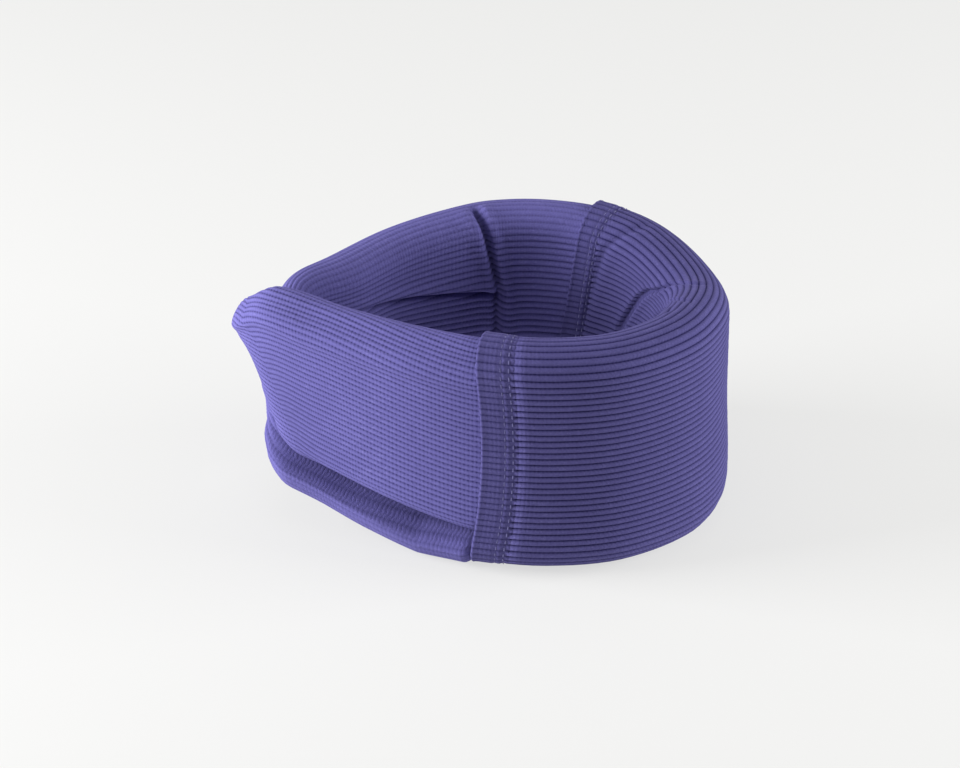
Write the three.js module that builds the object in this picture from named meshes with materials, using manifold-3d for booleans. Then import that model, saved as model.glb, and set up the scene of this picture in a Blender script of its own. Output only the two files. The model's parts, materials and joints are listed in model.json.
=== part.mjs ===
// Soft cervical collar: a foam strip in a knitted cover, wrapped into a ring so that its outer end lies on
// its inner end, with a removable knitted sleeve over the half that lies at the chin.
// Millimetres, +Z up. The ring stands on the long edge of the strip, with the sleeve's half towards +X.
import * as THREE from 'three';
import { mergeVertices } from 'three/addons/utils/BufferGeometryUtils.js';
import Module from 'manifold-3d';

const wasm = await Module();
wasm.setup();

// ---- driving dimensions -------------------------------------------------------------------------------
const ringHalfWidth = 85;       // middle of the ring to the strip's outer face, along X
const ringHalfDepth = 66;       // middle of the ring to the strip's outer face, along Y
const stripHeight = 83;         // full height of the strip, at the front
const wallThickness = 19;       // strip with its cover, at the front and the back
const edgeRound = 8;            // rounding of the strip's long edges
const endThickness = 14;        // the outer end, squeezed where it lies on the inner end
const rollHeight = 15;          // full, unsqueezed top edge of the outer end
const tipThickness = 9;         // the outer end at its free tip
const tipDrop = 10;             // fall of its top edge towards the tip
const endRise = 11;             // its bottom edge above the sleeve's, where it leaves the sleeve
const tipRise = 31;             // its bottom edge above the sleeve's, at the tip
const tipSlant = 24;            // how much further the tip reaches at the top than at the bottom
const tipCurl = 0.7;            // below 1, most of that slant lies near the top
const innerEndThickness = 13;   // the inner end, squeezed behind the outer end
const innerEndTop = 67;         // top edge of the inner end at its tip
const lipReach = 12.5;          // how far the inner end hangs below the outer end
const lipBulge = 15;            // how far its free lower edge swells outwards, under the outer end
const lipClearance = 3;         // how much lower the swelling ends beside the sleeve, so the outer end swings
const leftTopDrop = 7;          // fall of the top edge from the back crease to the left end
const coverWall = 1.2;          // knitted cover of the strip
const sleeveWall = 0.9;         // knitted sleeve, single
const hemWall = 1.4;            // turned hem of the sleeve, double
const hemWidth = 13.5;
const sleeveEase = 0.7;         // room between the strip and the sleeve
const sleeveStop = 34;          // from the far mouth of the sleeve to the back crease
const farMouthSlant = 18;       // lean of the far mouth: its top edge is further back
const stitchInset = 9.6;        // mouth of the sleeve to the first row of stitches
const stitchPitch = 2.9;        // between the two rows of a hem
const threadSize = 0.6;
const tapeLength = 44;          // hook tape and loop tape
const tapeWidth = 20;
const tapeThickness = 1.4;
const tapeFromTip = 28;
const tapeBelowRoll = 8;        // from the foot of the outer end's full top edge down to the tapes
const tapePartingRoom = 3;      // room beside the tapes, so that they slide past the cover as the ends part
const seamSize = 1.2;           // seam that closes the cover at each end
const gap = 0.3;                // between pieces that touch
const smallRound = 0.4;         // edges of the tapes and seams
const riseFade = 30;            // inside the sleeve, the outer end's raised bottom edge comes down over this
const tipTaper = 34;            // the outer end thins over this length
const tipSlantFade = 70;        // and loses its slant over this one
const tipDropFade = 26;
const squeezeFade = 34;         // the inner end thins over this length before the left bend
const lipFadeLow = 8;           // the lip's swelling is full up to here
const lipFadeHigh = 19;         // and has gone here
const lipStart = 6;             // it begins to swell out this far before the left bend
const lipFade = 24;             // over this length
const sectionStep = 8;          // length of one facet along the strip

// ---- plan lines of the strip's outer face, as shares of the ring's half width and half depth -------------
const outerEndPlan = [[-1.03, -0.14], [-0.885, -0.33], [-0.57, -0.6], [-0.28, -0.8], [-0.035, -0.92]];
const frontPlan = [[0.26, -0.985], [0.59, -0.91], [0.87, -0.62], [0.995, -0.2], [0.99, 0.22], [0.82, 0.63],
  [0.55, 0.92], [0.27, 1.03]];
const backPlan = [[0.03, 1.015], [-0.18, 0.92], [-0.46, 0.74], [-0.7, 0.47]];
const bendCentre = [-0.71, 0.09];
const bendRadius = 17;          // outer face of the tight bend at the left end
const bendAngles = [145, 178, 211, 240];

class PlanLine {
  constructor(points) {
    const knots = points.map(([x, y]) => new THREE.Vector3(x, y, 0));
    this.curve = new THREE.CatmullRomCurve3(knots, false, 'centripetal');
    this.curve.arcLengthDivisions = 2000;
    this.length = this.curve.getLength();
  }

  // a place on the line, with its inward direction; past its ends the line runs straight on
  at(s) {
    const share = THREE.MathUtils.clamp(s / this.length, 0, 1);
    const point = this.curve.getPointAt(share);
    const along = this.curve.getTangentAt(share);
    point.addScaledVector(along, s - share * this.length);
    return { point, inward: new THREE.Vector3(-along.y, along.x, 0) };
  }

  // length along the line to the place nearest to a knot
  nearestTo([x, y]) {
    const distance = (s) => Math.hypot(this.at(s).point.x - x, this.at(s).point.y - y);
    let best = 0;
    for (let s = 0; s <= this.length; s += 0.25) {
      if (distance(s) < distance(best)) best = s;
    }
    return best;
  }
}

const scaled = ([x, y]) => [x * ringHalfWidth, y * ringHalfDepth];
const outerKnots = outerEndPlan.map(scaled);
const backKnots = backPlan.map(scaled);
const bendKnots = bendAngles.map((degrees) => {
  const angle = THREE.MathUtils.degToRad(degrees);
  const [x, y] = scaled(bendCentre);
  return [x + bendRadius * Math.cos(angle), y + bendRadius * Math.sin(angle)];
});
const ringKnots = [...outerKnots, ...frontPlan.map(scaled), ...backKnots, ...bendKnots];

// the inner end follows the inside of the outer end, with room for the two tapes between them
const ring = new PlanLine(ringKnots);
const mouthKnot = outerKnots[outerKnots.length - 1];
const innerOffset = endThickness + 2 * tapeThickness + 3 * gap;
const innerKnots = [0.42, 0.6, 0.77, 0.92].map((share) => {
  const { point, inward } = ring.at(share * ring.nearestTo(mouthKnot));
  return [point.x + inward.x * innerOffset, point.y + inward.y * innerOffset];
});
const strip = new PlanLine([...ringKnots, ...innerKnots]);
const mouthAt = strip.nearestTo(mouthKnot);        // the outer end leaves the sleeve
const creaseAt = strip.nearestTo(backKnots[0]);    // the back crease
const bendAt = strip.nearestTo(bendKnots[2]);      // the left end
const innerTipAt = strip.length;

// ---- the strip, drawn flat and wrapped along a plan line ---------------------------------------------
const ease = (from, to, value) => THREE.MathUtils.smoothstep(value, from, to);

// section across the strip: x is the distance inwards from the outer face, y the height
function roundedSection(near, far, low, high, radius) {
  const r = Math.min(radius, (far - near) / 2 - 0.05, (high - low) / 2 - 0.05);
  const shape = new THREE.Shape();
  shape.moveTo(near + r, low);
  shape.lineTo(far - r, low);
  shape.absarc(far - r, low + r, r, -Math.PI / 2, 0, false);
  shape.lineTo(far, high - r);
  shape.absarc(far - r, high - r, r, 0, Math.PI / 2, false);
  shape.lineTo(near + r, high);
  shape.absarc(near + r, high - r, r, Math.PI / 2, Math.PI, false);
  shape.lineTo(near, low + r);
  shape.absarc(near + r, low + r, r, Math.PI, 1.5 * Math.PI, false);
  return shape;
}

// the full strip, in by an inset all round, or out where the inset is negative
function stripSection(inset) {
  return roundedSection(inset, wallThickness - inset, inset, stripHeight - inset, edgeRound - inset);
}

// the outer end is squeezed thin below its top edge, which keeps the wall's full thickness
function outerEndSection(inset) {
  const lowRadius = endThickness / 2;
  const highRadius = wallThickness / 2;
  const rollBottom = stripHeight - rollHeight;
  const shape = new THREE.Shape();
  shape.moveTo(inset, lowRadius);
  shape.absarc(lowRadius, lowRadius, lowRadius - inset, Math.PI, 2 * Math.PI, false);
  shape.lineTo(endThickness - inset, rollBottom - (wallThickness - endThickness));
  shape.lineTo(wallThickness - inset, rollBottom);
  shape.absarc(highRadius, stripHeight - highRadius, highRadius - inset, 0, Math.PI, false);
  return shape;
}

function wrapped(shape, from, to, place, curveSegments = 2) {
  const steps = Math.max(1, Math.round((to - from) / sectionStep));
  const options = { depth: to - from, steps, curveSegments, bevelEnabled: false };
  const geometry = new THREE.ExtrudeGeometry(shape, options);
  geometry.deleteAttribute('normal');
  geometry.deleteAttribute('uv');
  const position = geometry.attributes.position;
  for (let i = 0; i < position.count; i += 1) {
    const world = place(from + position.getZ(i), position.getX(i), position.getY(i));
    position.setXYZ(i, world.x, world.y, world.z);
  }
  const merged = mergeVertices(geometry, 1e-4);
  return new wasm.Manifold(new wasm.Mesh({
    numProp: 3,
    vertProperties: new Float32Array(merged.attributes.position.array),
    triVerts: new Uint32Array(merged.index.array),
  }));
}

// moves the two long edges as they are and stretches only what lies between them
function heightBetween(z, rise, fall) {
  const share = THREE.MathUtils.clamp((z - edgeRound) / (stripHeight - 2 * edgeRound), 0, 1);
  return z + rise * (1 - share) - fall * share;
}

function onStrip(s, depth, height) {
  const { point, inward } = strip.at(s);
  return point.addScaledVector(inward, depth).setZ(height);
}

// rise of the bottom edge along the outer line: eased out inside the sleeve
function outerRise(s) {
  if (s > mouthAt) return endRise * (1 - ease(mouthAt, mouthAt + riseFade, s));
  return endRise + (tipRise - endRise) * Math.pow(Math.max(0, 1 - Math.max(0, s) / mouthAt), 1.15);
}

const thinTowardsTip = (s) => 1 - (1 - tipThickness / endThickness) * (1 - ease(0, tipTaper, s));

function placeOuter(s, depth, z) {
  const free = THREE.MathUtils.clamp(1 - s / tipSlantFade, 0, 1);
  const below = THREE.MathUtils.clamp(1 - z / stripHeight, 0, 1);
  const slanted = s + tipSlant * Math.pow(below, tipCurl) * free * free;
  const height = heightBetween(z, outerRise(slanted), tipDrop * (1 - ease(-4, tipDropFade, slanted)));
  return onStrip(slanted, depth * thinTowardsTip(s), height);
}

// the sleeve stays level, and its far mouth leans
function placeSleeve(s, depth, z) {
  const leaning = s - farMouthSlant * (z / stripHeight - 0.5) * ease(mouthAt + 60, farMouthAt, s);
  return onStrip(leaning, depth, z);
}

// from the back crease round the left end, then under the outer end, where the bottom edge keeps its reach
function placeBack(s, depth, z) {
  const outerAt = mouthAt * (s - bendAt) / (innerTipAt - bendAt);
  const lipRise = Math.max(-hemWall - sleeveEase, outerRise(outerAt) - lipReach);
  const rise = s < bendAt ? (tipRise - lipReach) * ease(creaseAt, bendAt, s) : lipRise;
  const tipFall = stripHeight - innerEndTop;
  const dropBefore = leftTopDrop * ease(creaseAt, bendAt - 30, s);
  const fall = dropBefore + (tipFall - leftTopDrop) * ease(bendAt - 10, bendAt + 30, s);
  const squeezed = ease(bendAt - 14 - squeezeFade, bendAt - 14, s);
  const squeeze = 1 - (1 - innerEndThickness / wallThickness) * squeezed;
  const shallower = lipClearance * ease(bendAt + 30, innerTipAt, s);
  const swollen = 1 - ease(lipFadeLow - shallower, lipFadeHigh - shallower, z);
  const bulge = lipBulge * ease(bendAt - lipStart, bendAt - lipStart + lipFade, s) * swollen;
  return onStrip(s, depth * squeeze - bulge, heightBetween(z, rise, fall));
}

const placeTape = (s, depth, z) => onStrip(s, depth * (s < mouthAt ? thinTowardsTip(s) : 1), z);

// ---- bodies ----------------------------------------------------------------------------------------------
const farMouthAt = creaseAt - sleeveStop;
const foamInset = coverWall + gap;

const outerEnd = (inset, from, to) => wrapped(outerEndSection(inset), from, to, placeOuter, 4);
const frontStrip = (inset, from, to) => wrapped(stripSection(inset), from, to, placeOuter);

// the inner end is hollowed where the outer end lies on it, with a clearance that grows with the inset
function backStrip(inset, from, to) {
  const clearance = gap + inset;
  const pressed = outerEnd(-clearance, -clearance, mouthAt + wallThickness).add(tapeBlock(clearance));
  const parts = wrapped(stripSection(inset), from, to, placeBack).subtract(pressed).decompose();
  return parts.sort((a, b) => b.volume() - a.volume())[0];
}

// the room that the two tapes and their stitching take, grown by a clearance
function tapeBlock(clearance) {
  const margin = gap + threadSize + clearance;
  const far = endThickness + 2 * (gap + tapeThickness) + clearance;
  const section = tapeSection(endThickness - edgeRound / 2, far, margin);
  const end = tapeFromTip + tapeLength + margin + tapePartingRoom;
  return wrapped(section, tapeFromTip - margin, end, placeTape, 1);
}

function tapeSection(near, far, margin) {
  const top = stripHeight - rollHeight - (wallThickness - endThickness) - tapeBelowRoll;
  return roundedSection(near, far, top - tapeWidth - margin, top + margin, smallRound);
}

// a tube of cloth round the strip, standing off it by a distance
function sleeveTube(standOff, wall, from, to) {
  const outside = wrapped(stripSection(-standOff - wall), from, to, placeSleeve);
  const inside = wrapped(stripSection(-standOff), from - 1, to + 1, placeSleeve);
  return outside.subtract(inside);
}

// a hem, with a groove for each row of stitches, and the rows sunk into it
function addHem(name, mouth, towards) {
  const [from, to] = [mouth, mouth + towards * hemWidth].sort((a, b) => a - b);
  let hem = sleeveTube(sleeveEase, hemWall, from, to);
  const rowDepth = sleeveEase + hemWall - threadSize;
  for (let row = 0; row < 2; row += 1) {
    const middle = mouth + towards * (stitchInset + row * stitchPitch);
    const half = threadSize / 2;
    const groove = [rowDepth - gap, threadSize + 2 * gap, middle - half - gap, middle + half + gap];
    hem = hem.subtract(sleeveTube(...groove));
    const stitches = sleeveTube(rowDepth, threadSize, middle - half, middle + half);
    addPiece(`${name}_stitch_row_${row + 1}`, stitches, thread);
  }
  addPiece(`${name}_hem`, hem, sleeveKnit);
}

// ---- materials and pieces --------------------------------------------------------------------------------
const coverKnit = new THREE.MeshStandardMaterial({ color: 0x5b53a4, roughness: 0.95, metalness: 0 });
const sleeveKnit = new THREE.MeshStandardMaterial({ color: 0x4c4594, roughness: 0.95, metalness: 0 });
const thread = new THREE.MeshStandardMaterial({ color: 0x6a62b4, roughness: 0.85, metalness: 0 });
const foam = new THREE.MeshStandardMaterial({ color: 0xd9d4c6, roughness: 1, metalness: 0 });
const tape = new THREE.MeshStandardMaterial({ color: 0x3b3680, roughness: 0.9, metalness: 0 });
const collar = new THREE.Group();

function addPiece(name, body, material) {
  const mesh = body.getMesh();
  const geometry = new THREE.BufferGeometry();
  geometry.setAttribute('position', new THREE.BufferAttribute(mesh.vertProperties, 3));
  geometry.setIndex(new THREE.BufferAttribute(mesh.triVerts, 1));
  geometry.computeVertexNormals();
  const piece = new THREE.Mesh(geometry, material);
  piece.name = name;
  collar.add(piece);
}

function addOuterEnd() {
  const to = mouthAt - gap;
  addPiece('outer_end_foam', outerEnd(foamInset, foamInset, to), foam);
  const hollow = outerEnd(coverWall, coverWall, mouthAt + 1);
  addPiece('outer_end_cover', outerEnd(0, 0, to).subtract(hollow), coverKnit);
  const middle = endThickness / 2;
  const section = roundedSection(middle, middle + seamSize, edgeRound, stripHeight - edgeRound, smallRound);
  const seam = wrapped(section, -gap - seamSize, seamSize, placeOuter, 1);
  addPiece('outer_end_seam', seam.subtract(outerEnd(-gap, -gap, wallThickness)), thread);
}

function addFront() {
  addPiece('front_foam', frontStrip(foamInset, mouthAt, creaseAt), foam);
  const hollow = frontStrip(coverWall, mouthAt - 1, creaseAt + 1);
  addPiece('front_cover', frontStrip(0, mouthAt, creaseAt).subtract(hollow), coverKnit);
  const from = mouthAt + hemWidth + gap;
  const to = farMouthAt - hemWidth - gap;
  addPiece('sleeve', sleeveTube(sleeveEase, sleeveWall, from, to), sleeveKnit);
  addHem('near', mouthAt, 1);
  addHem('far', farMouthAt, -1);
}

function addBack() {
  const from = creaseAt + gap;
  const end = innerTipAt;
  addPiece('back_foam', backStrip(foamInset, from, end - foamInset), foam);
  const hollow = backStrip(coverWall, from - 1, end - coverWall);
  addPiece('back_cover', backStrip(0, from, end).subtract(hollow), coverKnit);
  const middle = wallThickness / 2;
  const low = edgeRound + lipReach;
  const section = roundedSection(middle, middle + seamSize, low, stripHeight - edgeRound, smallRound);
  const seam = wrapped(section, end - seamSize, end + gap + seamSize, placeBack, 1);
  addPiece('inner_end_seam', seam.subtract(backStrip(-gap, end - wallThickness, end + gap)), thread);
}

// the hook tape is sewn to the inside of the outer end, and the loop tape to the inner end, facing it
function addTapes() {
  const end = tapeFromTip + tapeLength;
  for (const [index, name] of ['hook_tape', 'loop_tape'].entries()) {
    const near = endThickness + gap + index * (tapeThickness + gap);
    const far = near + tapeThickness;
    addPiece(name, wrapped(tapeSection(near, far, 0), tapeFromTip, end, placeTape, 1), tape);
    const out = gap + threadSize;
    const rim = wrapped(tapeSection(near, far, out), tapeFromTip - out, end + out, placeTape, 1);
    const opening = tapeSection(near - gap, far + gap, gap);
    const window = wrapped(opening, tapeFromTip - gap, end + gap, placeTape, 1);
    addPiece(`${name}_stitching`, rim.subtract(window), thread);
  }
}

addOuterEnd();
addFront();
addBack();
addTapes();

// origin under the middle of the whole collar, on the surface it stands on
const extent = new THREE.Box3().setFromObject(collar);
const middle = extent.getCenter(new THREE.Vector3());
collar.position.set(-middle.x, -middle.y, -extent.min.z);

export default collar;
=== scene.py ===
import json
import math
import bpy
import bmesh
import numpy as np
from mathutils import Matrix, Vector


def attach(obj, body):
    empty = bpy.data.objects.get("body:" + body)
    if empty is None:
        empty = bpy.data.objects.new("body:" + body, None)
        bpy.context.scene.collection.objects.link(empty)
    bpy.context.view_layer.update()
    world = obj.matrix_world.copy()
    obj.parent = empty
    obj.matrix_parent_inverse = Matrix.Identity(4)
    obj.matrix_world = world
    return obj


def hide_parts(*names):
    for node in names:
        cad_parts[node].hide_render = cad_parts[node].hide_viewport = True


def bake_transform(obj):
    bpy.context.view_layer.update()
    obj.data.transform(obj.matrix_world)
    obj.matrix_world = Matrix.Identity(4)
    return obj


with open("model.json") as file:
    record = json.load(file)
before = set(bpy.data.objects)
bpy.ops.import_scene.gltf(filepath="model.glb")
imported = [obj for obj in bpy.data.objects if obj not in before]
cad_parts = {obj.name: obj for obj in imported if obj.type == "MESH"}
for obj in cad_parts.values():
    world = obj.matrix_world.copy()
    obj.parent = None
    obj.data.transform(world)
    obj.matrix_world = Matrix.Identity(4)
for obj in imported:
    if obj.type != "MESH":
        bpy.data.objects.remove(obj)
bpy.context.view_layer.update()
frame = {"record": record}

mm = 0.001

# The strip of foam in its cover, wrapped into a ring. Lengths are in metres, and plan knots are shares of the
# ring's halves.
strip = {
    "halfWidth": 85 * mm,
    "halfDepth": 66 * mm,
    "height": 83 * mm,
    "wall": 19 * mm,
    "round": 9.3 * mm,
    "outerEnd": [(-1.03, -0.14), (-0.885, -0.33), (-0.57, -0.6), (-0.28, -0.8), (-0.035, -0.92)],
    "front": [(0.26, -0.985), (0.59, -0.91), (0.87, -0.62), (0.995, -0.2), (0.99, 0.22), (0.82, 0.63),
              (0.55, 0.92), (0.27, 1.03)],
    "back": [(0.03, 1.015), (-0.18, 0.92), (-0.46, 0.74), (-0.7, 0.47)],
    "bendCentre": (-0.71, 0.09),
    "bendRadius": 17 * mm,
    "bendAngles": (145, 178, 211, 240),
    "innerShares": (0.42, 0.6, 0.77, 0.92),
    "stand": 2.1 * mm,          # the sleeve and its hem under the strip
}
outerEnd = {
    "thickness": 14 * mm,
    "tipThickness": 9 * mm,
    "roll": 15 * mm,
    "tipDrop": 10 * mm,
    "rise": 11 * mm,
    "tipRise": 31 * mm,
    "slant": 32 * mm,
    "slantFade": 70 * mm,
    "curl": 0.8,
    "tipRound": 4 * mm,         # the top of the tip falls away to a rounded point
}
innerEnd = {
    "thickness": 13 * mm,
    "top": 67 * mm,
    "lipReach": 15.5 * mm,
    "lipBulge": 18.5 * mm,
    "lipClearance": 3 * mm,
    "leftDrop": 7 * mm,
    "offset": 17.7 * mm,
}


def bump(centre, width, value):
    return np.exp(-((value - centre) / width) ** 2)


def smooth(low, high, value):
    share = np.clip((value - low) / (high - low), 0, 1)
    return share * share * (3 - 2 * share)


def splineTable(knots):
    # centripetal Catmull-Rom through the knots, as points a quarter of a millimetre apart or closer
    p = np.array(knots, float)
    p = np.vstack([2 * p[0] - p[1], p, 2 * p[-1] - p[-2]])
    found = []
    for i in range(1, len(p) - 2):
        a, b, c, d = p[i - 1:i + 3]
        t = np.cumsum([0] + [np.linalg.norm(v - u) ** 0.5 for u, v in ((a, b), (b, c), (c, d))])
        x = np.linspace(t[1], t[2], 160, endpoint=False)[:, None]
        ab = (t[1] - x) / (t[1] - t[0]) * a + (x - t[0]) / (t[1] - t[0]) * b
        bc = (t[2] - x) / (t[2] - t[1]) * b + (x - t[1]) / (t[2] - t[1]) * c
        cd = (t[3] - x) / (t[3] - t[2]) * c + (x - t[2]) / (t[3] - t[2]) * d
        abc = (t[2] - x) / (t[2] - t[0]) * ab + (x - t[0]) / (t[2] - t[0]) * bc
        bcd = (t[3] - x) / (t[3] - t[1]) * bc + (x - t[1]) / (t[3] - t[1]) * cd
        found.append((t[2] - x) / (t[2] - t[1]) * abc + (x - t[1]) / (t[2] - t[1]) * bcd)
    return np.vstack(found + [p[-2:-1]])


class PlanLine:
    # a line in plan, read by the length along it
    def __init__(self, knots):
        self.table = splineTable(knots)
        steps = np.linalg.norm(np.diff(self.table, axis=0), axis=1)
        self.along = np.concatenate([[0], np.cumsum(steps)])
        self.length = self.along[-1]

    def point(self, s):
        inside = np.clip(s, 0, self.length)
        return np.stack([np.interp(inside, self.along, self.table[:, k]) for k in (0, 1)], -1)

    def at(self, s):
        s = np.asarray(s, float)
        reach = 0.6 * mm
        middle = np.clip(s, reach, self.length - reach)
        way = self.point(middle + reach) - self.point(middle - reach)
        way /= np.linalg.norm(way, axis=-1, keepdims=True)
        beyond = s - np.clip(s, 0, self.length)
        return self.point(s) + way * beyond[..., None], np.stack([-way[..., 1], way[..., 0]], -1)

    def nearest(self, knot):
        return self.along[np.linalg.norm(self.table - np.array(knot), axis=1).argmin()]


jointAt = {j["name"]: np.array(j["pos_m"]) for j in frame["record"]["behaviour"]["joints"]}
scaled = lambda knot: np.array([knot[0] * strip["halfWidth"], knot[1] * strip["halfDepth"]])
shift = jointAt["ring_spread"][:2] - scaled(strip["back"][0])
placed = lambda knots: [scaled(k) + shift for k in knots]
turned = [math.radians(a) for a in strip["bendAngles"]]
bendKnots = [scaled(strip["bendCentre"]) + shift + strip["bendRadius"] * np.array([math.cos(a), math.sin(a)])
             for a in turned]
ringKnots = placed(strip["outerEnd"]) + placed(strip["front"]) + placed(strip["back"]) + bendKnots
ring = PlanLine(ringKnots)
mouthShare = ring.nearest(ringKnots[4])
innerKnots = []
for share in strip["innerShares"]:
    point, inward = ring.at(share * mouthShare)
    innerKnots.append(point + inward * innerEnd["offset"])
line = PlanLine(ringKnots + innerKnots)
mouthAt = line.nearest(ringKnots[4])
creaseAt = line.nearest(placed(strip["back"])[0])
bendAt = line.nearest(bendKnots[2])
tipAt = line.length
farMouthAt = creaseAt - 34 * mm
print("strip laid out, its end at", round(tipAt, 4))


# ---- places on the strip: s along it, depth in from its outer face, z up from its lower edge
def heightBetween(z, rise, fall):
    flat = 8 * mm
    share = np.clip((z - flat) / (strip["height"] - 2 * flat), 0, 1)
    return z + rise * (1 - share) - fall * share


def onStrip(s, depth, height):
    point, inward = line.at(s)
    flat = point + inward * depth[..., None]
    return np.concatenate([flat, (height - topSag(s, height) + strip["stand"])[..., None]], -1)


def topSag(s, z):
    # the top edge sinks where the wall folds in, at the right
    return 6 * mm * bump(242 * mm, 30 * mm, s) * smooth(45 * mm, 80 * mm, z)


def outerRise(s):
    e = outerEnd
    beyond = e["rise"] * (1 - smooth(mouthAt, mouthAt + 30 * mm, s))
    share = np.clip(1 - np.maximum(s, 0) / mouthAt, 0, 1)
    return np.where(s > mouthAt, beyond, e["rise"] + (e["tipRise"] - e["rise"]) * share ** 1.15)


def placeOuter(s, depth, z):
    e = outerEnd
    free = np.clip(1 - s / e["slantFade"], 0, 1)
    slanted = s + e["slant"] * np.clip(1 - z / strip["height"], 0, 1) ** e["curl"] * free ** 2
    topShare = smooth(strip["height"] - 13 * mm, strip["height"], z)
    slanted = slanted + e["tipRound"] * topShare * (1 - smooth(-10 * mm, 16 * mm, s))
    thin = 1 - (1 - e["tipThickness"] / e["thickness"]) * (1 - smooth(0, 34 * mm, s))
    thin = np.where(s < mouthAt, thin, 1)
    fall = e["tipDrop"] * (1 - smooth(-8 * mm, 16 * mm, slanted)) - 2 * mm * bump(19 * mm, 13 * mm, slanted)
    return onStrip(slanted, depth * thin, heightBetween(z, outerRise(slanted), fall))


def placeSleeve(s, depth, z):
    leaning = s - 18 * mm * (z / strip["height"] - 0.5) * smooth(mouthAt + 60 * mm, farMouthAt, s)
    return onStrip(leaning, depth, z)


def placeBack(s, depth, z):
    e = innerEnd
    outerAt = mouthAt * (s - bendAt) / (tipAt - bendAt)
    lipRise = np.maximum(-strip["stand"], outerRise(outerAt) - e["lipReach"])
    bendRise = (outerEnd["tipRise"] - e["lipReach"]) * smooth(creaseAt, bendAt, s)
    rise = np.where(s < bendAt, bendRise, lipRise)
    tipFall = strip["height"] - e["top"]
    fall = e["leftDrop"] * smooth(creaseAt, bendAt - 30 * mm, s)
    fall = fall + (tipFall - e["leftDrop"]) * smooth(bendAt - 34 * mm, bendAt + 8 * mm, s)
    squeeze = 1 - (1 - e["thickness"] / strip["wall"]) * smooth(bendAt - 48 * mm, bendAt - 14 * mm, s)
    lower = e["lipClearance"] * smooth(bendAt + 30 * mm, tipAt, s)
    bulge = e["lipBulge"] * smooth(bendAt - 6 * mm, bendAt + 18 * mm, s)
    bulge = bulge * (1 - smooth(8 * mm - lower, 19 * mm - lower, z))
    bulge = bulge - 3.5 * mm * bump(bendAt - 6 * mm, 17 * mm, s) * smooth(40 * mm, 70 * mm, z)
    bulge = bulge + 2.2 * mm * bump(bendAt, 13 * mm, s) * bump(36 * mm, 11 * mm, z)
    return onStrip(s, depth * squeeze - bulge, heightBetween(z, rise, fall))


# ---- sections: closed loops of (depth, z), even along their length
def evenLoop(points, count):
    closed = np.vstack([points, points[:1]])
    steps = np.linalg.norm(np.diff(closed, axis=0), axis=1)
    along = np.concatenate([[0], np.cumsum(steps)])
    want = np.linspace(0, along[-1], count, endpoint=False)
    loop = np.stack([np.interp(want, along, closed[:, k]) for k in (0, 1)], -1)
    return loop, along[-1]


def arc(centre, radius, start, end, count=40):
    turn = np.radians(np.linspace(start, end, count))
    return np.stack([centre[0] + radius * np.cos(turn), centre[1] + radius * np.sin(turn)], -1)


def stripSection(grow=0.0):
    w, h, r = strip["wall"], strip["height"], strip["round"]
    # starts at the middle of the top edge and runs down the outer face
    return np.vstack([arc((r, h - r), r + grow, 90, 180), arc((r, r), r + grow, 180, 270),
                      arc((w - r, r), r + grow, 270, 360), arc((w - r, h - r), r + grow, 0, 90)])


def outerEndSection(grow=0.0):
    w, h, t = strip["wall"], strip["height"], outerEnd["thickness"]
    rollBottom = h - outerEnd["roll"]
    swell = np.linspace(0, 1, 30)
    side = np.stack([t + grow + (w - t) * smooth(0, 1, swell), rollBottom - 8 * mm + 10 * mm * swell], -1)
    top = (w / 2, h - w / 2)
    return np.vstack([arc(top, w / 2 + grow, 90, 180), arc((t / 2, t / 2), t / 2 + grow, 180, 360),
                      side, arc(top, w / 2 + grow, 0, 90)])


def loopNormals(loop):
    way = np.roll(loop, -1, 0) - np.roll(loop, 1, 0)
    way /= np.linalg.norm(way, axis=1, keepdims=True)
    return np.stack([-way[:, 1], way[:, 0]], -1) * -1


def unevenness(s, ribs, seed):
    # slow wander of each rib, the same every time
    rib = np.floor(ribs) + seed
    first = np.sin(s * 71 + rib * 2.39) * np.sin(rib * 12.9 + 1)
    second = np.sin(s * 187 + rib * 4.13 + 2)
    third = np.sin(s * 430 + rib * 1.37)
    return 0.45 * first + 0.35 * second + 0.2 * third


def stations(*spans):
    # lengths along the strip, each span as (from, to, step)
    found = [np.linspace(a, b, max(2, int(round((b - a) / step)) + 1))[:-1] for a, b, step in spans]
    return np.concatenate(found + [[spans[-1][1]]])


def ribHeight(ribs, flatness=0.5):
    # rounded ribs with a narrow groove between them: 0 in the groove, 1 on the crest
    return np.abs(np.sin(math.pi * ribs)) ** flatness


# ---- lofting: a section swept along the strip becomes one closed mesh with its own UV map in metres
def meshObject(name, points, faces, faceUvs, height=None):
    mesh = bpy.data.meshes.new(name)
    mesh.from_pydata(points, [], faces)
    layer = mesh.uv_layers.new(name="cloth")
    layer.data.foreach_set("uv", np.asarray(faceUvs, np.float32).ravel())
    # the rib attribute holds rib height, 0 in the groove and 1 on the crest, and sets where the knit material
    # paints shade into the grooves
    if height is not None:
        rib = mesh.attributes.new("rib", "FLOAT", "POINT")
        rib.data.foreach_set("value", np.asarray(height, np.float32))
    mesh.polygons.foreach_set("use_smooth", [True] * len(mesh.polygons))
    mesh.update()
    piece = bpy.data.objects.new(name, mesh)
    bpy.context.collection.objects.link(piece)
    return piece


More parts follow.
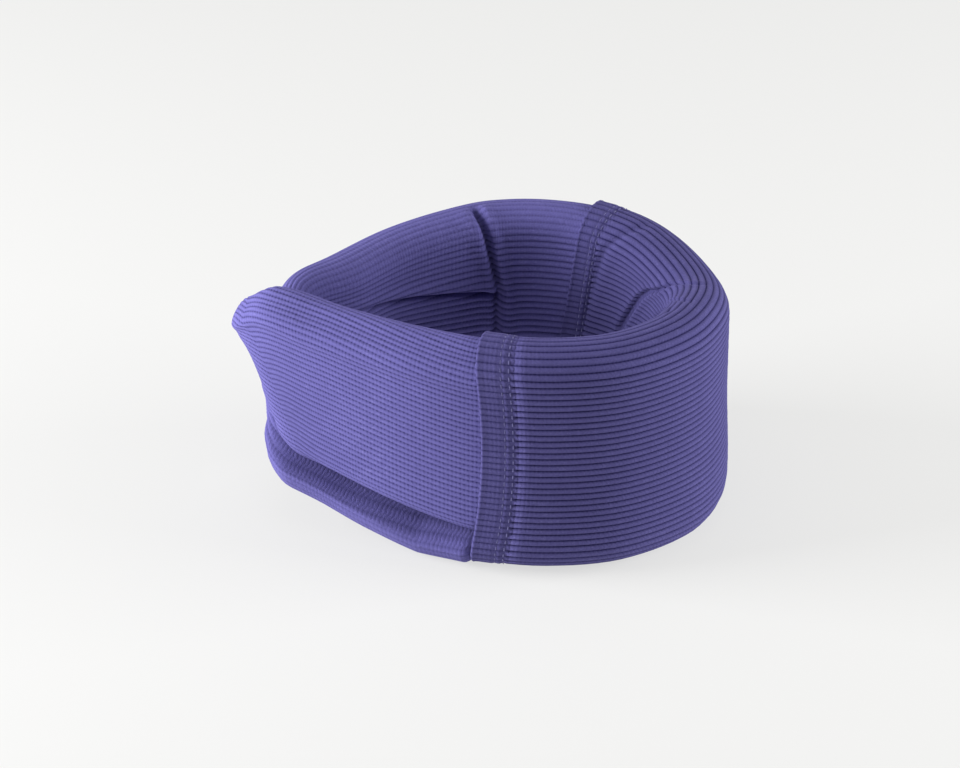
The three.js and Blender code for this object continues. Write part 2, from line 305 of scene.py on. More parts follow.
def lofted(name, loops, along, around, height=None, closeStart=True, closeEnd=True):
    # loops: rows of points, one row for each station, all rows of one length and closed on themselves
    rows, count = loops.shape[:2]
    points = loops.reshape(-1, 3)
    heights = None if height is None else height.reshape(-1)
    index = np.arange(rows * count).reshape(rows, count)
    after = np.roll(index, -1, 1)
    quads = np.stack([index[:-1], after[:-1], after[1:], index[1:]], -1).reshape(-1, 4)
    u = np.repeat(along[:, None], count, 1)
    v = np.repeat(around[None, :], rows, 0)
    vAfter = np.repeat(np.concatenate([around[1:], [around[-1] + around[1] - around[0]]])[None, :], rows, 0)
    corner = lambda a, b: np.stack([a.reshape(-1), b.reshape(-1)], -1)
    uvs = np.stack([corner(u[:-1], v[:-1]), corner(u[:-1], vAfter[:-1]), corner(u[1:], vAfter[1:]),
                    corner(u[1:], v[1:])], 1)
    faces = quads.tolist()
    uvs = [tuple(x) for x in uvs.reshape(-1, 2)]
    for row, wanted, flip in ((0, closeStart, False), (rows - 1, closeEnd, True)):
        if not wanted:
            continue
        ring = index[row]
        points = np.vstack([points, loops[row].mean(0)[None]])
        if heights is not None:
            heights = np.append(heights, 0.8)
        for k in range(count):
            a, b = ring[k], ring[(k + 1) % count]
            faces.append([len(points) - 1, b, a] if not flip else [len(points) - 1, a, b])
            uvs.extend([(along[row], around[k])] * 3)
    piece = meshObject(name, points.tolist(), faces, uvs, heights)
    return turnOutward(piece)


def turnOutward(piece):
    solid = bmesh.new()
    solid.from_mesh(piece.data)
    bmesh.ops.recalc_face_normals(solid, faces=solid.faces)
    solid.to_mesh(piece.data)
    solid.free()
    return piece


def swept(place, along, loop, lift, lean=0.0):
    # the section, lifted along its own normals, at every station
    normal = loopNormals(loop)
    depth = loop[None, :, 0] + normal[None, :, 0] * lift
    z = loop[None, :, 1] + normal[None, :, 1] * lift
    return place(along[:, None] + lean + 0 * depth, depth, z)


# ---- outer end: cover from its free tip to inside the sleeve, thin below a full top edge
outerCoverSize = {
    "ribs": 98,
    "ribPitch": 2.0 * mm,
    "ribDepth": 0.4 * mm,
    "flatness": 0.6,
    "start": -11.5 * mm,
    "insideSleeve": 26 * mm,
    "steadyShare": 0.52,        # of the way round, from the bottom edge up, where the ribs keep their pitch
    "roundReach": 10 * mm,      # the tip rounds off over this length
    "valley": 1.4 * mm,         # soft channel along the top, above the shoulder
    "shoulder": 1.1 * mm,
}


def makeOuterCover():
    size = outerCoverSize
    dense, _ = evenLoop(np.roll(outerEndSection(), -70, 0), 1600)
    lowest = dense[:, 1].argmin()
    dense = np.roll(dense, -lowest, 0)[::-1]     # from the bottom edge up the outer face and over the top
    normal = -loopNormals(dense)
    t, w, h = outerEnd["thickness"], strip["wall"], strip["height"]
    along = stations((size["start"], 8 * mm, 0.6 * mm), (8 * mm, mouthAt + 3 * mm, 1.5 * mm),
                     (mouthAt + 3 * mm, mouthAt + size["insideSleeve"], 6 * mm))
    count = 6 * size["ribs"]
    ribs = np.arange(count) / 6
    loops, heights = [], []
    for s in along:
        flat = placeOuter(np.full(len(dense), s), dense[:, 0], dense[:, 1])
        steps = np.linalg.norm(np.diff(np.vstack([flat, flat[:1]]), axis=0), axis=1)
        run = np.concatenate([[0], np.cumsum(steps)])
        steady = size["steadyShare"] * run[-1]
        steadyRibs = min(steady / size["ribPitch"], 0.47 * size["ribs"])
        rest = (ribs - steadyRibs) / (size["ribs"] - steadyRibs)
        want = np.where(ribs < steadyRibs, ribs / steadyRibs * steady, steady + rest * (run[-1] - steady))
        place = np.interp(want, run, np.arange(len(dense) + 1))
        wrapped = lambda values: np.interp(place, np.arange(len(dense) + 1), np.append(values, values[0]))
        depth, z, nx, nz = (wrapped(v) for v in (dense[:, 0], dense[:, 1], normal[:, 0], normal[:, 1]))
        pitch = np.gradient(want) * 6
        height = ribHeight(ribs, size["flatness"])
        fromTip = np.clip((s - size["start"]) / size["roundReach"], 0, 1)
        edge = smooth(0, 1, fromTip)
        calm = np.clip(pitch / size["ribPitch"], 0.15, 1)
        calm = calm * (1 + 0.25 * unevenness(s, ribs, 11))
        lift = size["ribDepth"] * (height - 0.8) * calm
        outside = smooth(w * 0.62, w * 0.3, depth)
        lift = lift + outside * size["shoulder"] * bump(h - 12.5 * mm, 3.6 * mm, z)
        lift = lift - size["valley"] * bump(3.6 * mm, 3.4 * mm, depth) * smooth(h - 8 * mm, h - 4 * mm, z)
        half = t / 2 + (w - t) / 2 * smooth(h - 24 * mm, h - 15 * mm, z)
        roundShare = np.sqrt(np.clip(1 - (1 - fromTip) ** 2, 0, 1))
        lift = lift * edge - (1 - roundShare) * half * 0.92
        loops.append(placeOuter(np.full(count, s), depth + nx * lift, z + nz * lift))
        heights.append(height * calm + (1 - calm) * 0.85)
    piece = lofted("outerCover", np.array(loops), along, ribs, np.array(heights))
    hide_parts("outer_end_cover")
    return piece


# ---- cover of the back and the inner end, from inside the sleeve round the left end to the inner tip
backCoverSize = {
    "ribs": 76,
    "ribDepth": 0.8 * mm,
    "flatness": 0.5,
    "roundReach": 5 * mm,
    "pastTip": 9 * mm,          # the knit reaches on to the sleeve, past the foam
}


def clearOfOuterEnd(points, clear=0.7 * mm):
    # keeps the inner end off the outer end that lies on it
    e = outerEnd
    table = line.table[::6]
    table = table[line.along[::6] < mouthAt + 12 * mm]
    along = line.along[::6][:len(table)]
    flat = points.reshape(-1, 3)
    near = np.array([np.argmin(((table - p) ** 2).sum(1)) for p in flat[:, :2]])
    so = along[near]
    place, inward = line.at(so)
    d = ((flat[:, :2] - place) * inward).sum(1)
    beyond = so + ((flat[:, :2] - place) * np.column_stack([inward[:, 1], -inward[:, 0]])).sum(1)
    h = flat[:, 2] - strip["stand"]
    thin = 1 - (1 - e["tipThickness"] / e["thickness"]) * (1 - smooth(0, 34 * mm, so))
    half = e["thickness"] / 2
    low = h - outerRise(so)
    high = h + e["tipDrop"] * (1 - smooth(-4 * mm, 26 * mm, so))
    rollBottom = strip["height"] - e["roll"]
    bottom = half - np.sqrt(np.clip(half ** 2 - np.clip(np.abs(half - d / thin), 0, half) ** 2, 0, None))
    swell = smooth(rollBottom - 8 * mm, rollBottom + 2 * mm, high)
    wide = e["thickness"] + (strip["wall"] - e["thickness"]) * swell
    round_ = half + np.sqrt(np.clip(half ** 2 - np.clip(half - low, 0, half) ** 2, 0, None))
    inner = np.where(low < half, round_, wide) * thin + clear
    inside = (low > -clear) & (d < inner)
    under = inside & (d < half * thin) & (low < half)
    tipEdge = e["slant"] * np.clip(1 - low / strip["height"], 0, 1) ** e["curl"] - 3 * mm
    covered = smooth(-4 * mm, 1 * mm, beyond - tipEdge)[:, None]
    newD = np.where(inside & ~under, inner, d)
    newH = np.where(under, outerRise(so) + bottom - clear, h)
    newH = np.where(under, np.minimum(newH, h), newH)
    moved = np.column_stack([place + inward * newD[:, None], newH + strip["stand"]])
    flat = np.where(inside[:, None], flat + (moved - flat) * covered, flat)
    return flat.reshape(points.shape)


def makeBackCover():
    size = backCoverSize
    count = 6 * size["ribs"]
    loop, _ = evenLoop(stripSection(), count)
    h, w = strip["height"], strip["wall"]
    coarseTo, foldsTo = farMouthAt - 110 * mm, farMouthAt - 12 * mm
    creaseFrom, creaseTo = creaseAt - 5 * mm, creaseAt + 12 * mm
    along = stations((mouthAt + 27 * mm, coarseTo, 8 * mm), (coarseTo, foldsTo, 4 * mm),
                     (foldsTo, creaseFrom, 2 * mm), (creaseFrom, creaseTo, 0.8 * mm),
                     (creaseTo, tipAt - 3 * mm, 2 * mm), (tipAt - 3 * mm, tipAt + size["pastTip"], 0.9 * mm))
    ribs = np.arange(count) / 6
    height = ribHeight(ribs, size["flatness"])[None, :] + 0 * along[:, None]
    s, z, depth = along[:, None], loop[None, :, 1], loop[None, :, 0]
    calm = 1 - 0.6 * smooth(h - 12 * mm, h - 6 * mm, z) + 0 * s
    calm = calm * (1 + 0.22 * unevenness(s, ribs[None, :], 3))
    calm = calm * (1 - 0.6 * smooth(bendAt, bendAt + 12 * mm, s))
    lift = size["ribDepth"] * (height - 0.8) * calm + foldsOfBack(s, depth, z)
    lift = lift + np.minimum(foldsOfSleeve(s, depth, z), 0) - 0.4 * mm * (s < farMouthAt - 14 * mm)
    left = np.clip((tipAt + size["pastTip"] - s) / size["roundReach"], 0, 1)
    rounded = np.sqrt(np.clip(1 - (1 - left) ** 2, 0, 1))
    lift = lift - (1 - rounded) * w / 2 * 0.9
    loops = swept(placeBack, along, loop, lift)
    lapped = along > bendAt + 4 * mm
    loops[lapped] = clearOfOuterEnd(loops[lapped])
    piece = lofted("backCover", loops, along, ribs, height * calm + (1 - calm) * 0.85)
    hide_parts("back_cover", "front_cover")
    return piece


def foldsOfBack(s, depth, z):
    # the living crease across the back and the buckle that runs from it round to the left
    inside = smooth(strip["wall"] * 0.45, strip["wall"] * 0.75, depth)
    buckleAt = 49.5 * mm + 0.155 * (s - creaseAt)
    valleyAt = creaseAt - 1 * mm + 0.32 * np.clip(z - buckleAt, 0, None)
    valley = -3.4 * mm * bump(0, 1.9 * mm, s - valleyAt) * smooth(-4 * mm, 4 * mm, z - buckleAt)
    ridges = 0.9 * mm * (bump(5 * mm, 3 * mm, s - valleyAt) + bump(-5 * mm, 3 * mm, s - valleyAt))
    past = smooth(creaseAt - 1.5 * mm, creaseAt + 0.5 * mm, s)
    past = past * (1 - smooth(creaseAt + 45 * mm, creaseAt + 85 * mm, s))
    below = smooth(1.2 * mm, -1.2 * mm, z - buckleAt)
    recess = -3.2 * mm * below * past * smooth(5 * mm, 25 * mm, z)
    groove = -3.6 * mm * bump(-0.4 * mm, 1.4 * mm, z - buckleAt) * past
    brow = 1.2 * mm * bump(3.6 * mm, 2.6 * mm, z - buckleAt) * past
    edge = -2.2 * mm * bump(creaseAt - 0.5 * mm, 1.5 * mm, s) * below
    return (valley + ridges + recess + groove + brow + edge) * inside


# ---- sleeve: one layer of coarser rib, slid over the front half
sleeveSize = {
    "ribs": 82,
    "ribDepth": 0.8 * mm,
    "flatness": 0.34,
    "standOff": 0.7 * mm,
    "wall": 0.9 * mm,
    "hemWidth": 13.5 * mm,
    "hemWall": 1.4 * mm,
    "stitchInset": 8.8 * mm,
    "stitchPitch": 2.9 * mm,
    "flat": (0.217, 0.205),
}


def mouthBow(z):
    # the near mouth bows: its ends reach further back along the strip
    share = z / strip["height"]
    return 4.4 * mm - 6.5 * mm * (1 - share) ** 3 - 4.2 * mm * share ** 3


def tubeOfCloth(name, place, along, loop, outerLift, innerLift, lean, height, ribs):
    # an outer skin and an inner one, joined at both mouths
    outer = swept(place, along, loop, outerLift, lean)
    inner = swept(place, along[::-1], loop, innerLift, lean[::-1])
    loops = np.concatenate([outer, inner, outer[:1]])
    run = np.concatenate([along, along[::-1], along[:1]])
    heights = np.concatenate([height, 0 * height + 0.8, height[:1]])
    piece = lofted(name, loops, run, ribs, heights, closeStart=False, closeEnd=False)
    shell = bmesh.new()
    shell.from_mesh(piece.data)
    bmesh.ops.remove_doubles(shell, verts=shell.verts, dist=1e-7)
    bmesh.ops.recalc_face_normals(shell, faces=shell.faces)
    shell.to_mesh(piece.data)
    shell.free()
    return piece


def lowerFlare(s, depth, z):
    # the sleeve stands away a little low down at the right
    outside = smooth(9 * mm, 4 * mm, depth)
    return 1.6 * mm * bump(203 * mm, 26 * mm, s) * smooth(44 * mm, 14 * mm, z) * outside


def sleeveLean(s, z):
    return mouthBow(z) * (1 - smooth(mouthAt, mouthAt + 60 * mm, s))


def makeSleeve():
    size = sleeveSize
    count = 6 * size["ribs"]
    loop, _ = evenLoop(stripSection(), count)
    start, end = mouthAt + size["hemWidth"] - 0.6 * mm, farMouthAt - size["hemWidth"] + 0.6 * mm
    along = stations((start, 200 * mm, 4.5 * mm), (200 * mm, end, 1.5 * mm))
    ribs = np.arange(count) / 6
    height = ribHeight(ribs, size["flatness"])[None, :] + 0 * along[:, None]
    s, z, depth = along[:, None], loop[None, :, 1], loop[None, :, 0]
    calm = 1 - 0.55 * smooth(strip["height"] - 9 * mm, strip["height"] - 3 * mm, z) + 0 * s
    calm = calm * (1 + 0.25 * unevenness(s, ribs[None, :], 7))
    folds = foldsOfSleeve(s, depth, z)
    outer = size["standOff"] + size["wall"] + size["ribDepth"] * (height - 0.75) * calm + folds
    outer = outer + lowerFlare(s, depth, z)
    inner = 0 * outer + size["standOff"] - 0.1 * mm + np.minimum(folds, 0)
    inner = inner + np.maximum(lowerFlare(s, depth, z), 0)
    piece = tubeOfCloth("sleeveKnit", placeSleeve, along, loop, outer, inner, sleeveLean(s, z), height, ribs)
    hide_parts("sleeve")
    return piece


wrinkles = [
    # each a valley from the top edge down the inner face: (height, place along the strip) in millimetres
    {"deep": 3.4 * mm, "wide": 1.3 * mm, "side": 0.15,
     "path": [(84, 224), (80, 243), (76, 252), (70, 263), (63, 270), (55, 275), (45, 281)]},
    {"deep": 0.9 * mm, "wide": 1.1 * mm, "side": 0.2,
     "path": [(84, 200), (80, 214), (75, 229), (70, 241), (64, 250), (58, 255), (50, 258)]},
    {"deep": 0.7 * mm, "wide": 1.1 * mm, "side": 0.2,
     "path": [(84, 186), (79, 200), (74, 215), (68, 227), (61, 236), (54, 241), (46, 243)]},
    {"deep": 0.8 * mm, "wide": 2.0 * mm, "side": 0.1,
     "path": [(84, 286), (80, 292), (74, 298), (66, 300), (58, 301), (50, 302), (40, 303)]},
]


def foldsOfSleeve(s, depth, z):
    inner = smooth(6 * mm, 13 * mm, depth)
    found = 0 * s * z
    for wrinkle in wrinkles:
        heights, places = np.array(wrinkle["path"][::-1]).T * mm
        middle = np.interp(z, heights, places)
        ends = smooth(heights[0] - 14 * mm, heights[0] + 12 * mm, z)
        away = s - middle
        found = found - wrinkle["deep"] * bump(0, wrinkle["wide"], away) * ends
        ridgeAt, ridgeWidth = wrinkle["wide"] * 2.6, wrinkle["wide"] * 1.6
        beside = bump(ridgeAt, ridgeWidth, away) + bump(-ridgeAt, ridgeWidth, away)
        found = found + wrinkle["side"] * wrinkle["deep"] * beside * ends
    return found * inner


def makeHem(name, mouth, towards, node):
    size = sleeveSize
    count = 6 * size["ribs"]
    loop, _ = evenLoop(stripSection(), count)
    reach = size["hemWidth"]
    last = reach / mm
    inset = np.concatenate([[0, 0.12, 0.45, 1.0, 1.8], np.linspace(2.9, last - 0.9, 14),
                            [last - 0.35, last - 0.08, last]]) * mm
    along = mouth + towards * inset
    if towards < 0:
        along, inset = along[::-1], inset[::-1]
    ribs = np.arange(count) / 6
    height = ribHeight(ribs, size["flatness"])[None, :] + 0 * along[:, None]
    s, z, depth = along[:, None], loop[None, :, 1], loop[None, :, 0]
    i = inset[:, None]
    rolled = np.sqrt(np.clip(1 - (1 - np.clip(i / (1.0 * mm), 0, 1)) ** 2, 0, 1))
    thinning = size["hemWall"] + (size["wall"] - size["hemWall"]) * smooth(size["stitchInset"], reach, i)
    secondRow = size["stitchInset"] + size["stitchPitch"]
    pressed = bump(size["stitchInset"], 0.7 * mm, i) + bump(secondRow, 0.7 * mm, i)
    calm = np.clip(0.6 + 0.4 * smooth(size["stitchInset"] + 2.5 * mm, reach, i) - 0.42 * pressed, 0, 1)
    full = thinning * rolled + 0.3 * mm * bump(0.8 * mm, 0.8 * mm, i)
    outer = size["standOff"] + full + size["ribDepth"] * (height - 0.75) * calm * rolled - 0.25 * mm * pressed
    outer = outer + foldsOfSleeve(s, depth, z)
    inner = 0 * outer + size["standOff"] - 0.05 * mm + np.minimum(foldsOfSleeve(s, depth, z), 0)
    shade = height * calm + (1 - calm) * 0.85
    piece = tubeOfCloth(name, placeSleeve, along, loop, outer, inner, sleeveLean(s, z), shade, ribs)
    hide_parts(node)
    return piece


# ---- stitches: one small capsule, copied along each row
stitchSize = {"length": 1.5 * mm, "thickness": 0.36 * mm, "spacing": 2.9 * mm}


def capsuleShape():
    t, half = stitchSize["thickness"] / 2, stitchSize["length"] / 2
    rings = [(-half, 0.35), (-half * 0.8, 0.85), (-half * 0.35, 1),
             (half * 0.35, 1), (half * 0.8, 0.85), (half, 0.35)]
    turn = np.radians(np.arange(0, 360, 60))
    points = [(x, t * r * math.cos(a), t * r * math.sin(a)) for x, r in rings for a in turn]
    faces = [[k * 6 + j, k * 6 + (j + 1) % 6, k * 6 + 6 + (j + 1) % 6, k * 6 + 6 + j] for k in range(5)
             for j in range(6)]
    faces += [[5, 4, 3, 2, 1, 0], [30, 31, 32, 33, 34, 35]]
    return np.array(points), faces


def stitchesAlong(name, path, normals, node):
    # path and normals: closed rows of points; a stitch every spacing, lying along the path
    capsule, capsuleFaces = capsuleShape()
    steps = np.linalg.norm(np.diff(np.vstack([path, path[:1]]), axis=0), axis=1)
    run = np.concatenate([[0], np.cumsum(steps)])
    count = int(round(run[-1] / stitchSize["spacing"]))
    points, faces = [], []
    closed = np.vstack([path, path[:1]])
    closedNormals = np.vstack([normals, normals[:1]])
    for k in range(count):
        middle = (k + 0.5) * run[-1] / count
        at = lambda where, rows: np.array([np.interp(where, run, rows[:, c]) for c in range(3)])
        centre = at(middle, closed)
        way = at(middle + 0.5 * mm, closed) - at(middle - 0.5 * mm, closed)
        way /= np.linalg.norm(way)
        up = at(middle, closedNormals)
        up = up - way * up.dot(way)
        up /= np.linalg.norm(up)
        side = np.cross(up, way)
        faces += [[i + len(points) for i in face] for face in capsuleFaces]
        points += [tuple(centre + way * x + side * y + up * z) for x, y, z in capsule]
    faceUvs = [points[i][:2] for face in faces for i in face]
    piece = meshObject(name, points, faces, faceUvs)
    turnOutward(piece)
    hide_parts(node)
    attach(piece, "front")
    piece.data.materials.append(threadMaterial)
    return piece


def makeStitchRow(name, mouth, towards, row, node):
    size = sleeveSize
    loop, _ = evenLoop(stripSection(), 400)
    normal = loopNormals(loop)
    inset = size["stitchInset"] + row * size["stitchPitch"]
    s = np.full(400, mouth + towards * inset)
    z, depth = loop[:, 1], loop[:, 0]
    lift = size["standOff"] + size["hemWall"] - 0.22 * mm + foldsOfSleeve(s, depth, z)
    lean = sleeveLean(s, z)
    surface = placeSleeve(s + lean, depth + normal[:, 0] * lift, z + normal[:, 1] * lift)
    above = placeSleeve(s + lean, depth + normal[:, 0] * (lift + mm), z + normal[:, 1] * (lift + mm))
    return stitchesAlong(name, surface, above - surface, node)


# ---- foam inside the covers
def slimmed(s, depth, z):
    # inside the lap the foam keeps to the upper inner part of its cover
    share = smooth(bendAt - 5 * mm, bendAt + 15 * mm, s)
    deeper = (0.75 * strip["wall"] - depth) * 0.5 * share
    higher = (0.4 * strip["height"] - z) * 0.55 * share
    return depth + deeper, z + higher


def makeFoam():
    inset = 1.6 * mm
    outerLoop, _ = evenLoop(outerEndSection(-2 * inset), 90)
    outerAlong = stations((inset, mouthAt + 24 * mm, 4 * mm))
    outer = swept(placeOuter, outerAlong, outerLoop, 0 * outerAlong[:, None])
    count = len(outerLoop)
    piece = lofted("outerEndFoam", outer, outerAlong, np.arange(count) * 2.2 * mm)
    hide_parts("outer_end_foam")
    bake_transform(piece)
    loop, _ = evenLoop(stripSection(-1.8 * inset), 90)
    ringAlong = stations((mouthAt + 27 * mm, creaseAt, 3 * mm), (creaseAt, tipAt - 10 * mm, 3 * mm))
    early = ringAlong[:, None] < creaseAt
    place = lambda s, depth, z: np.where(s[..., None] < creaseAt, placeOuter(s, depth, z),
                                         placeBack(s, *slimmed(s, depth, z)))
    folds = foldsOfBack(ringAlong[:, None], loop[None, :, 0], loop[None, :, 1])
    folds = folds + foldsOfSleeve(ringAlong[:, None], loop[None, :, 0], loop[None, :, 1])
    lift = np.where(early, 0, -0.4 * mm) + np.minimum(folds, 0) * 1.1
    loops = swept(place, ringAlong, loop, lift)
    rest = lofted("ringFoam", loops, ringAlong, np.arange(count) * 2.2 * mm)
    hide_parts("front_foam", "back_foam")
    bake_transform(rest)
    for foam in (piece, rest):
        foam.data.materials.append(foamMaterial)


# ---- shader maths on sockets
class Value:
    # a socket that adds its Math nodes as it is used in a sum
    def __init__(self, graph, socket):
        self.graph, self.socket = graph, socket

    def maths(self, operation, *others):
        values = {0: self.socket}
        for k, other in enumerate(others):
            values[k + 1] = other.socket if isinstance(other, Value) else other
        return self.graph.node("ShaderNodeMath", {"operation": operation}, values)

    def reflected(self, operation, other):
        return self.graph.node("ShaderNodeMath", {"operation": operation}, {0: other, 1: self.socket})

    def __add__(self, other):
        return self.maths("ADD", other)

    def __radd__(self, other):
        return self.maths("ADD", other)

    def __sub__(self, other):
        return self.maths("SUBTRACT", other)

    def __rsub__(self, other):
        return self.reflected("SUBTRACT", other)

    def __mul__(self, other):
        return self.maths("MULTIPLY", other)

    def __rmul__(self, other):
        return self.maths("MULTIPLY", other)

    def __pow__(self, other):
        return self.maths("POWER", other)

    def fract(self):
        return self.maths("FRACT")

    def absolute(self):
        return self.maths("ABSOLUTE")

    def least(self, other):
        return self.maths("MINIMUM", other)


class Graph:
    def __init__(self, name):
        self.material = bpy.data.materials.new(name)
        self.material.use_nodes = True
        self.tree = self.material.node_tree
        self.surface = self.tree.nodes["Principled BSDF"]

    def node(self, kind, settings=None, values=None, output=0):
        added = self.tree.nodes.new(kind)
        for key, value in (settings or {}).items():
            if key == "stops":
                ramp = added.color_ramp.elements
                while len(ramp) < len(value):
                    ramp.new(0.5)
                for stop, (where, colour) in zip(ramp, value):
                    stop.position, stop.color = where, (*colour, 1)
            else:
                setattr(added, key, value)
        for key, value in (values or {}).items():
            if isinstance(value, Value):
                value = value.socket
            if isinstance(value, bpy.types.NodeSocket):
                self.tree.links.new(value, added.inputs[key])
            else:
                added.inputs[key].default_value = value
        return Value(self, added.outputs[output])

    def set(self, **values):
        for key, value in values.items():
            socket = self.surface.inputs[key.replace("_", " ")]
            if isinstance(value, Value):
                self.tree.links.new(value.socket, socket)
            else:
                socket.default_value = value


knitLook = {
    # groove is painted shade, the colour the knit takes in the grooves between ribs and the gaps between
    # loops; crest and fuzz are the knit's own colour, varied at random
    "groove": (0.010, 0.008, 0.06),
    "crest": (0.118, 0.107, 0.315),
    "fuzz": (0.27, 0.25, 0.56),
    "loopPitch": 1.5 * mm,
    "roughness": 0.95,
}


# brightness scales the knit's colour, and for the sleeve it also holds painted shade; the other three
# arguments set the painted shade in the gaps between loops and in the grooves between ribs
def knitMaterial(name, brightness=1.0, pinholeShadeAmount=0.5, grooveShadeStrength=1.0, grooveShadeColour=knitLook["groove"]):
    graph = Graph(name)
    look = knitLook
    uv = graph.node("ShaderNodeUVMap", {"uv_map": "cloth"})
    u = graph.node("ShaderNodeSeparateXYZ", None, {0: uv})
    v = Value(graph, u.socket.node.outputs[1])
    rib = graph.node("ShaderNodeAttribute", {"attribute_name": "rib"}, None, 2)
    place = graph.node("ShaderNodeTexCoord", None, None, 3)
    noise = lambda scale, detail, roughness: graph.node("ShaderNodeTexNoise", None, {
        "Vector": place, "Scale": scale, "Detail": detail, "Roughness": roughness})
    patches = noise(38.0, 3.0, 0.6)
    mottle = noise(650.0, 3.0, 0.65)
    fibres = noise(2600.0, 2.0, 0.7)
    across = (v.fract() - 0.5).absolute() * 2.0
    step = u * (1 / look["loopPitch"]) + across * 0.45 + (mottle - 0.5) * 0.9
    loops = 1 - ((step.fract() - 0.5).absolute() * 2.0) ** 2.0
    knit = loops * (1 - across * 0.3) * 0.38 + fibres * 0.6 + mottle * 0.6
    # painted shade: the gaps between loops and the grooves between ribs, read from the rib attribute, are
    # mixed towards the groove shade colour
    pinholeShade = (1 - loops) * across * across * pinholeShadeAmount
    groove = ((1 - rib) * grooveShadeStrength * (0.75 + mottle * 0.5) + pinholeShade).least(1.0)
    blotches = fibres * 0.45 + mottle * 0.3 + patches * 0.25
    crest = graph.node("ShaderNodeValToRGB", {"stops": [
        (0.25, [c * brightness * 0.72 for c in look["crest"]]),
        (0.55, [c * brightness for c in look["crest"]]),
        (0.95, [c * brightness for c in look["fuzz"]])]}, {0: blotches})
    colour = graph.node("ShaderNodeMix", {"data_type": "RGBA"}, {0: groove, 6: crest, 7: (*grooveShadeColour, 1)}, 2)
    bump_ = graph.node("ShaderNodeBump", None, {"Strength": 0.8, "Distance": 0.0003, "Height": knit})
    graph.set(Base_Color=colour, Roughness=look["roughness"], Normal=bump_, Specular_IOR_Level=0.1)
    graph.set(Sheen_Weight=0.12, Sheen_Roughness=0.4, Sheen_Tint=(0.5, 0.45, 1, 1))
    return graph.material


def plainThread():
    graph = Graph("threadPlied")
    place = graph.node("ShaderNodeTexCoord", None, None, 3)
    twist = graph.node("ShaderNodeTexWave", {"bands_direction": "DIAGONAL"},
                       {"Vector": place, "Scale": 900.0})
    mottle = graph.node("ShaderNodeTexNoise", None, {"Vector": place, "Scale": 700.0, "Detail": 2.0})
    # partly painted shade: the colour darkens in the troughs of the twist, which also shapes the bump; the
    # mottle is the thread's own tone
    shades = [(0.2, (0.075, 0.068, 0.22)), (0.8, (0.16, 0.15, 0.37))]
    colour = graph.node("ShaderNodeValToRGB", {"stops": shades}, {0: mottle * 0.6 + twist * 0.4})
    bump_ = graph.node("ShaderNodeBump", None, {"Strength": 0.5, "Distance": 0.0002, "Height": twist})
    graph.set(Base_Color=colour, Roughness=0.7, Normal=bump_, Sheen_Weight=0.2)
    return graph.material


def openFoam():
    graph = Graph("foamCells")
    place = graph.node("ShaderNodeTexCoord", None, None, 3)
    cells = graph.node("ShaderNodeTexVoronoi", None, {"Vector": place, "Scale": 900.0})
    age = graph.node("ShaderNodeTexNoise", None, {"Vector": place, "Scale": 40.0, "Detail": 4.0})
    # partly painted shade: the colour is darkest in the hollow of each cell, where the bump is lowest; the
    # age noise is the foam's own tone
    shades = [(0.0, (0.42, 0.38, 0.28)), (0.5, (0.7, 0.66, 0.54))]
    colour = graph.node("ShaderNodeValToRGB", {"stops": shades}, {0: cells * 0.8 + age * 0.3})
    bump_ = graph.node("ShaderNodeBump", None, {"Strength": 0.8, "Distance": 0.0006, "Height": cells})
    graph.set(Base_Color=colour, Roughness=0.95, Normal=bump_)
    return graph.material


def tapeFinish(name, scale, depth, light):
    graph = Graph(name)
    place = graph.node("ShaderNodeTexCoord", None, None, 3)
    pile = graph.node("ShaderNodeTexVoronoi", None, {"Vector": place, "Scale": scale})
    mottle = graph.node("ShaderNodeTexNoise", None, {"Vector": place, "Scale": 180.0, "Detail": 3.0})
    # partly painted shade: the colour falls to near black between the tufts of pile, where the bump is
    # lowest; the mottle is the tape's own tone
    colour = graph.node("ShaderNodeValToRGB", {"stops": [(0.1, (0.02, 0.018, 0.075)), (0.9, light)]},
                        {0: (1 - pile) * 0.7 + mottle * 0.4})
    bump_ = graph.node("ShaderNodeBump", None, {"Strength": 0.9, "Distance": depth, "Height": 1 - pile})
    graph.set(Base_Color=colour, Roughness=0.8, Normal=bump_, Sheen_Weight=0.3)
    return graph.material


# ---- camera, light and floor
view = {"target": (-2.0 * mm, -1.2 * mm, 40.9 * mm), "elevation": 28, "distance": 1.4, "lens": 147}
lamps = {
    "leftSoftbox": {"at": (-0.95, -0.08, 0.32), "size": 0.6, "power": 20},
    "rightSoftbox": {"at": (1.0, -0.05, 0.32), "size": 0.6, "power": 12},
    "topSoftbox": {"at": (0.0, 0.1, 1.0), "size": 0.8, "power": 1},
}


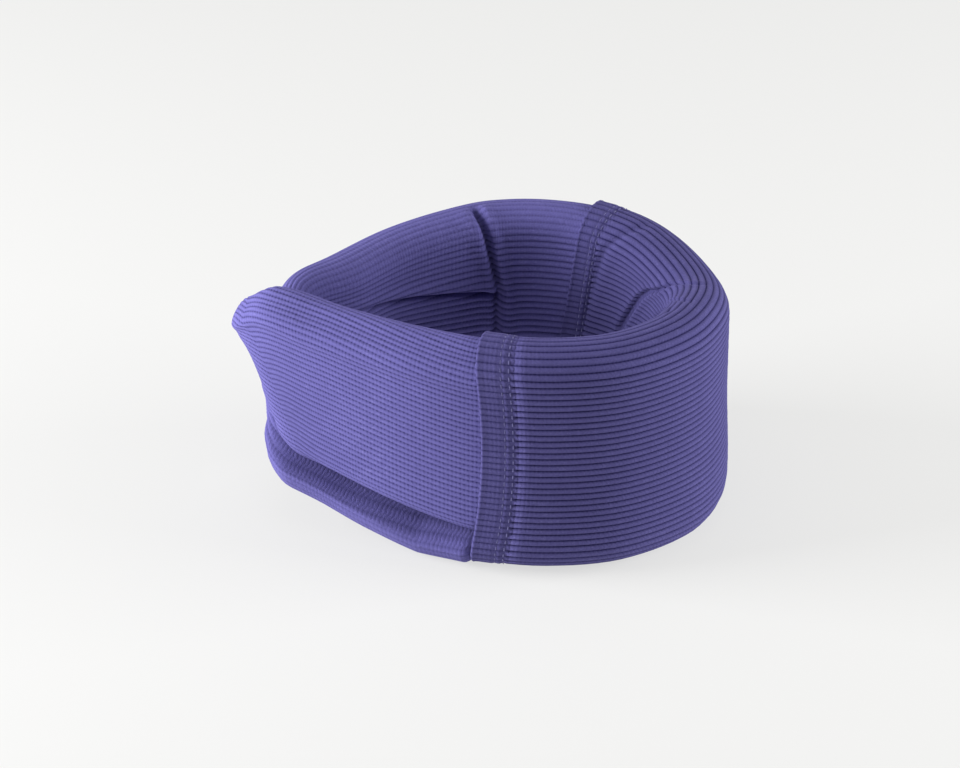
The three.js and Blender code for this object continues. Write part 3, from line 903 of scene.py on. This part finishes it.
def makeStage():
    target = Vector(view["target"])
    elevation = math.radians(view["elevation"])
    camera = bpy.data.objects.new("camera", bpy.data.cameras.new("camera"))
    camera.data.lens, camera.data.sensor_width = view["lens"], 36
    camera.location = target + view["distance"] * Vector((0, -math.cos(elevation), math.sin(elevation)))
    camera.rotation_euler = (target - camera.location).to_track_quat("-Z", "Y").to_euler()
    bpy.context.collection.objects.link(camera)
    bpy.context.scene.camera = camera
    for name, lamp in lamps.items():
        light = bpy.data.lights.new(name, "AREA")
        light.energy, light.size = lamp["power"], lamp["size"]
        holder = bpy.data.objects.new(name, light)
        holder.location = lamp["at"]
        holder.rotation_euler = (Vector((0, 0, 0.04)) - holder.location).to_track_quat("-Z", "Y").to_euler()
        bpy.context.collection.objects.link(holder)
    world = bpy.data.worlds.new("studio")
    world.use_nodes = True
    world.node_tree.nodes["Background"].inputs[0].default_value = (1, 1, 1, 1)
    world.node_tree.nodes["Background"].inputs[1].default_value = 0.3
    bpy.context.scene.world = world
    bpy.context.scene.view_settings.view_transform = "Standard"
    bpy.ops.mesh.primitive_plane_add(size=12, location=(0, 0, -0.0005))
    floor = bpy.context.active_object
    floor.name = "floor"
    paper = Graph("palePaper")
    paper.set(Base_Color=(0.2, 0.2, 0.2, 1), Roughness=0.9)
    paper.set(Emission_Color=(1, 1, 0.985, 1), Emission_Strength=0.635)
    floor.data.materials.append(paper.material)


bpy.ops.object.select_all(action="DESELECT")
makeStage()
# the sleeve's brightness of 0.75, against 1.14 and 1.1 for the covers, is painted shade: the near wall it
# covers faces the camera and gets little of the side lamps' light; the last colour of each material is the
# painted shade in its grooves
coverMaterial = knitMaterial("coverRib", 1.14, 0.7, 0.5, (0.022, 0.019, 0.085))
backMaterial = knitMaterial("backCoverRib", 1.1, 0.3, 0.55, (0.024, 0.021, 0.085))
paintedShadeSleeveMaterial = knitMaterial("sleeveRib", 0.75, 0.25, 0.9, (0.011, 0.009, 0.058))
threadMaterial, foamMaterial = plainThread(), openFoam()
hookMaterial = tapeFinish("hookTape", 1500.0, 0.0005, (0.12, 0.11, 0.33))
loopMaterial = tapeFinish("loopTape", 700.0, 0.0008, (0.2, 0.18, 0.5))
print("materials done")

mouthBefore = tuple(line.at(mouthAt - 15 * mm)[0]) + (0.045,)
mouthAfter = tuple(line.at(mouthAt + 1 * mm)[0]) + (0.045,)
creaseBefore = tuple(line.at(creaseAt - 8 * mm)[0]) + (0.045,)
creaseAfter = tuple(line.at(creaseAt + 8 * mm)[0]) + (0.045,)

outerCover = makeOuterCover()
outerCover.data.materials.append(coverMaterial)
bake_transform(outerCover)
backCover = makeBackCover()
backCover.data.materials.append(backMaterial)
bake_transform(backCover)
print("covers done")
makeFoam()
print("foam done")

sleeveKnit = makeSleeve()
hems = [makeHem("nearHem", mouthAt, 1, "near_hem"), makeHem("farHem", farMouthAt, -1, "far_hem")]
rows = [makeStitchRow(f"{end}StitchRow{row + 1}", mouth, towards, row, f"{end}_stitch_row_{row + 1}")
        for end, mouth, towards in (("near", mouthAt, 1), ("far", farMouthAt, -1)) for row in (0, 1)]
sleeveKnit.data.materials.append(paintedShadeSleeveMaterial)
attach(sleeveKnit, "front")
for hem in hems:
    hem.data.materials.append(paintedShadeSleeveMaterial)
    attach(hem, "front")
hems + rows
print("sleeve done")

finishes = {
    "hook_tape": hookMaterial,
    "loop_tape": loopMaterial,
    "hook_tape_stitching": threadMaterial,
    "loop_tape_stitching": threadMaterial,
    "outer_end_seam": threadMaterial,
    "inner_end_seam": threadMaterial,
}
for node, finish in finishes.items():
    carried = bpy.data.objects[node]
    carried.data.materials.clear()
    carried.data.materials.append(finish)
print("tapes and seams done")
